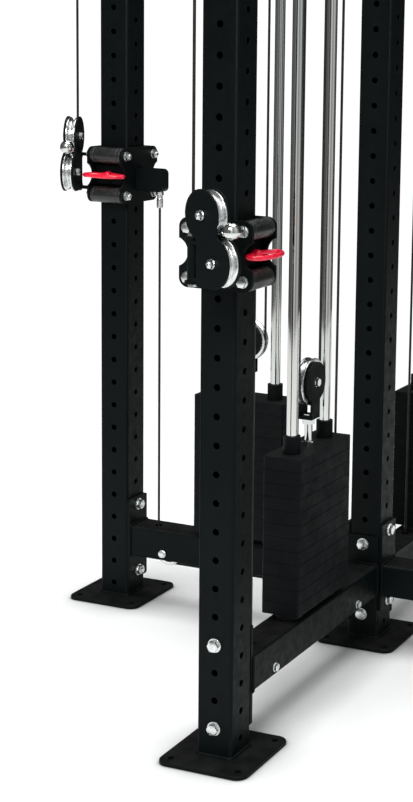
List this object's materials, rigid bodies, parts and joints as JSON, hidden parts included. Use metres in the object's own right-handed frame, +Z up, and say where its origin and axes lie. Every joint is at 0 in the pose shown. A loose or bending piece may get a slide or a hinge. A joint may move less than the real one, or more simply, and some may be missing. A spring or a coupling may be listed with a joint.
{
  "type": "cable crossover machine",
  "caption": "Cable crossover machine: a cross of perforated uprights with a weight stack, a height-adjustable trolley and a swivelling pulley head on each arm.",
  "frame": {"origin": "axis of the centre upright at floor level", "axes": "+Z up; -Y towards the front arm, -X towards the left arm; each arm's pull pin is on the side anticlockwise of it seen from above"},
  "size_m": [1.7408, 1.8322, 2.37],
  "materials": {
    "black_powder_coat": "fine satin powder coat",
    "weight_plates": "matt black enamel on steel",
    "zinc_bolts": "bright zinc plate",
    "chrome_rods": "hard chrome, polished",
    "chrome_ball": "polished",
    "pulley_aluminium": "turned and polished",
    "black_rubber": "matt",
    "black_nylon": "turned nylon",
    "cable_jacket": "smooth black jacket on steel rope",
    "red_handle": "dipped red coating"
  },
  "bodies": {
    "root": {"uprights": "black_powder_coat", "base_beams": "black_powder_coat", "top_beams": "black_powder_coat", "frame_bolts": "zinc_bolts", "top_channels": "black_powder_coat", "base_pulleys": "pulley_aluminium", "top_pulleys": "pulley_aluminium", "guide_rods": "chrome_rods", "stack_bumpers": "black_rubber", "resting_plates": "weight_plates", "cables": "cable_jacket", "stack_lines": "cable_jacket"},
    "front_stack": {"front_lifted_stack": "weight_plates", "front_stack_stem": "chrome_rods"},
    "front_stack_wheel": {"front_stack_pulley": "pulley_aluminium"},
    "front_trolley": {"front_trolley_frame": "black_powder_coat", "front_guide_rollers": "black_nylon", "front_trolley_bolts": "zinc_bolts"},
    "front_pin": {"front_pull_pin": "red_handle"},
    "front_head": {"front_pulley_head": "black_powder_coat", "front_head_bolts": "zinc_bolts"},
    "front_upper_wheel": {"front_upper_pulley": "pulley_aluminium"},
    "front_lower_wheel": {"front_lower_pulley": "pulley_aluminium"},
    "front_ball": {"front_cable_ball": "chrome_ball"},
    "left_stack": {"left_lifted_stack": "weight_plates", "left_stack_stem": "chrome_rods"},
    "left_stack_wheel": {"left_stack_pulley": "pulley_aluminium"},
    "left_trolley": {"left_trolley_frame": "black_powder_coat", "left_guide_rollers": "black_nylon", "left_trolley_bolts": "zinc_bolts"},
    "left_pin": {"left_pull_pin": "red_handle"},
    "left_head": {"left_pulley_head": "black_powder_coat", "left_head_bolts": "zinc_bolts"},
    "left_upper_wheel": {"left_upper_pulley": "pulley_aluminium"},
    "left_lower_wheel": {"left_lower_pulley": "pulley_aluminium"},
    "left_ball": {"left_cable_ball": "chrome_ball"},
    "rear_stack": {"rear_lifted_stack": "weight_plates", "rear_stack_stem": "chrome_rods"},
    "rear_stack_wheel": {"rear_stack_pulley": "pulley_aluminium"},
    "rear_trolley": {"rear_trolley_frame": "black_powder_coat", "rear_guide_rollers": "black_nylon", "rear_trolley_bolts": "zinc_bolts"},
    "rear_pin": {"rear_pull_pin": "red_handle"},
    "rear_head": {"rear_pulley_head": "black_powder_coat", "rear_head_bolts": "zinc_bolts"},
    "rear_upper_wheel": {"rear_upper_pulley": "pulley_aluminium"},
    "rear_lower_wheel": {"rear_lower_pulley": "pulley_aluminium"},
    "rear_ball": {"rear_cable_ball": "chrome_ball"},
    "right_stack": {"right_lifted_stack": "weight_plates", "right_stack_stem": "chrome_rods"},
    "right_stack_wheel": {"right_stack_pulley": "pulley_aluminium"},
    "right_trolley": {"right_trolley_frame": "black_powder_coat", "right_guide_rollers": "black_nylon", "right_trolley_bolts": "zinc_bolts"},
    "right_pin": {"right_pull_pin": "red_handle"},
    "right_head": {"right_pulley_head": "black_powder_coat", "right_head_bolts": "zinc_bolts"},
    "right_upper_wheel": {"right_upper_pulley": "pulley_aluminium"},
    "right_lower_wheel": {"right_lower_pulley": "pulley_aluminium"},
    "right_ball": {"right_cable_ball": "chrome_ball"}
  },
  "joints": [
    {"name": "front_stack_lift", "type": "slide", "parent": "root", "child": "front_stack", "axis": [0, 0, 1], "range_m": [0, 0.5], "deforming": ["stack_lines"]},
    {"name": "front_stack_pulley_spin", "type": "hinge", "parent": "front_stack", "child": "front_stack_wheel", "pos_m": [0, -0.354, 0.722], "axis": [1, 0, 0], "range_deg": [-580, 0]},
    {"name": "front_trolley_slide", "type": "slide", "parent": "root", "child": "front_trolley", "axis": [0, 0, 1], "range_m": [-0.66, 0.78]},
    {"name": "front_pin_pull", "type": "slide", "parent": "front_trolley", "child": "front_pin", "axis": [1, 0, 0], "range_m": [0, 0.018], "stiffness_N_per_m": 600},
    {"name": "front_head_swivel", "type": "hinge", "parent": "front_trolley", "child": "front_head", "pos_m": [0, -0.854, 1.06], "axis": [0, 0, 1], "range_deg": [-183, 47]},
    {"name": "front_upper_pulley_spin", "type": "hinge", "parent": "front_head", "child": "front_upper_wheel", "pos_m": [0.0408, -0.87048, 1.152], "axis": [0.3746, 0.9272, 0], "range_deg": [-1310, 0]},
    {"name": "front_lower_pulley_spin", "type": "hinge", "parent": "front_head", "child": "front_lower_wheel", "pos_m": [0.07232, -0.88322, 1.063], "axis": [0.3746, 0.9272, 0], "continuous": true},
    {"name": "front_cable_pull", "type": "slide", "parent": "front_head", "child": "front_ball", "axis": [0.8879, -0.3587, 0.2879], "range_m": [0, 1]},
    {"name": "left_stack_lift", "type": "slide", "parent": "root", "child": "left_stack", "axis": [0, 0, 1], "range_m": [0, 0.5], "deforming": ["stack_lines"]},
    {"name": "left_stack_pulley_spin", "type": "hinge", "parent": "left_stack", "child": "left_stack_wheel", "pos_m": [-0.354, 0, 0.722], "axis": [0, -1, 0], "range_deg": [-580, 0]},
    {"name": "left_trolley_slide", "type": "slide", "parent": "root", "child": "left_trolley", "axis": [0, 0, 1], "range_m": [-0.72, 0.72]},
    {"name": "left_pin_pull", "type": "slide", "parent": "left_trolley", "child": "left_pin", "axis": [0, -1, 0], "range_m": [0, 0.018], "stiffness_N_per_m": 600},
    {"name": "left_head_swivel", "type": "hinge", "parent": "left_trolley", "child": "left_head", "pos_m": [-0.854, 0, 1.12], "axis": [0, 0, 1], "range_deg": [-227, 3]},
    {"name": "left_upper_pulley_spin", "type": "hinge", "parent": "left_head", "child": "left_upper_wheel", "pos_m": [-0.83752, -0.0408, 1.212], "axis": [0.9272, 0.3746, 0], "range_deg": [-1310, 0]},
    {"name": "left_lower_pulley_spin", "type": "hinge", "parent": "left_head", "child": "left_lower_wheel", "pos_m": [-0.82478, -0.07232, 1.123], "axis": [0.9272, 0.3746, 0], "continuous": true},
    {"name": "left_cable_pull", "type": "slide", "parent": "left_head", "child": "left_ball", "axis": [0.3587, -0.8879, 0.2879], "range_m": [0, 1]},
    {"name": "rear_stack_lift", "type": "slide", "parent": "root", "child": "rear_stack", "axis": [0, 0, 1], "range_m": [0, 0.5], "deforming": ["stack_lines"]},
    {"name": "rear_stack_pulley_spin", "type": "hinge", "parent": "rear_stack", "child": "rear_stack_wheel", "pos_m": [0, 0.354, 0.722], "axis": [-1, 0, 0], "range_deg": [-580, 0]},
    {"name": "rear_trolley_slide", "type": "slide", "parent": "root", "child": "rear_trolley", "axis": [0, 0, 1], "range_m": [-0.72, 0.72]},
    {"name": "rear_pin_pull", "type": "slide", "parent": "rear_trolley", "child": "rear_pin", "axis": [-1, 0, 0], "range_m": [0, 0.018], "stiffness_N_per_m": 600},
    {"name": "rear_head_swivel", "type": "hinge", "parent": "rear_trolley", "child": "rear_head", "pos_m": [0, 0.854, 1.12], "axis": [0, 0, 1], "range_deg": [-183, 47]},
    {"name": "rear_upper_pulley_spin", "type": "hinge", "parent": "rear_head", "child": "rear_upper_wheel", "pos_m": [-0.0408, 0.87048, 1.212], "axis": [-0.3746, -0.9272, 0], "range_deg": [-1310, 0]},
    {"name": "rear_lower_pulley_spin", "type": "hinge", "parent": "rear_head", "child": "rear_lower_wheel", "pos_m": [-0.07232, 0.88322, 1.123], "axis": [-0.3746, -0.9272, 0], "continuous": true},
    {"name": "rear_cable_pull", "type": "slide", "parent": "rear_head", "child": "rear_ball", "axis": [-0.8879, 0.3587, 0.2879], "range_m": [0, 1]},
    {"name": "right_stack_lift", "type": "slide", "parent": "root", "child": "right_stack", "axis": [0, 0, 1], "range_m": [0, 0.5], "deforming": ["stack_lines"]},
    {"name": "right_stack_pulley_spin", "type": "hinge", "parent": "right_stack", "child": "right_stack_wheel", "pos_m": [0.354, 0, 0.722], "axis": [0, 1, 0], "range_deg": [-580, 0]},
    {"name": "right_trolley_slide", "type": "slide", "parent": "root", "child": "right_trolley", "axis": [0, 0, 1], "range_m": [-0.66, 0.78]},
    {"name": "right_pin_pull", "type": "slide", "parent": "right_trolley", "child": "right_pin", "axis": [0, 1, 0], "range_m": [0, 0.018], "stiffness_N_per_m": 600},
    {"name": "right_head_swivel", "type": "hinge", "parent": "right_trolley", "child": "right_head", "pos_m": [0.854, 0, 1.06], "axis": [0, 0, 1], "range_deg": [-227, 3]},
    {"name": "right_upper_pulley_spin", "type": "hinge", "parent": "right_head", "child": "right_upper_wheel", "pos_m": [0.83752, 0.0408, 1.152], "axis": [-0.9272, -0.3746, 0], "range_deg": [-1310, 0]},
    {"name": "right_lower_pulley_spin", "type": "hinge", "parent": "right_head", "child": "right_lower_wheel", "pos_m": [0.82478, 0.07232, 1.063], "axis": [-0.9272, -0.3746, 0], "continuous": true},
    {"name": "right_cable_pull", "type": "slide", "parent": "right_head", "child": "right_ball", "axis": [-0.3587, 0.8879, 0.2879], "range_m": [0, 1]}
  ],
  "couplings": [
    {"joint": "front_cable_pull", "follows": "front_stack_lift", "ratio": 2},
    {"joint": "front_upper_pulley_spin", "follows": "front_stack_lift", "rad_per_m": -45.455},
    {"joint": "front_stack_pulley_spin", "follows": "front_stack_lift", "rad_per_m": -20},
    {"joint": "left_cable_pull", "follows": "left_stack_lift", "ratio": 2},
    {"joint": "left_upper_pulley_spin", "follows": "left_stack_lift", "rad_per_m": -45.455},
    {"joint": "left_stack_pulley_spin", "follows": "left_stack_lift", "rad_per_m": -20},
    {"joint": "rear_cable_pull", "follows": "rear_stack_lift", "ratio": 2},
    {"joint": "rear_upper_pulley_spin", "follows": "rear_stack_lift", "rad_per_m": -45.455},
    {"joint": "rear_stack_pulley_spin", "follows": "rear_stack_lift", "rad_per_m": -20},
    {"joint": "right_cable_pull", "follows": "right_stack_lift", "ratio": 2},
    {"joint": "right_upper_pulley_spin", "follows": "right_stack_lift", "rad_per_m": -45.455},
    {"joint": "right_stack_pulley_spin", "follows": "right_stack_lift", "rad_per_m": -20}
  ]
}
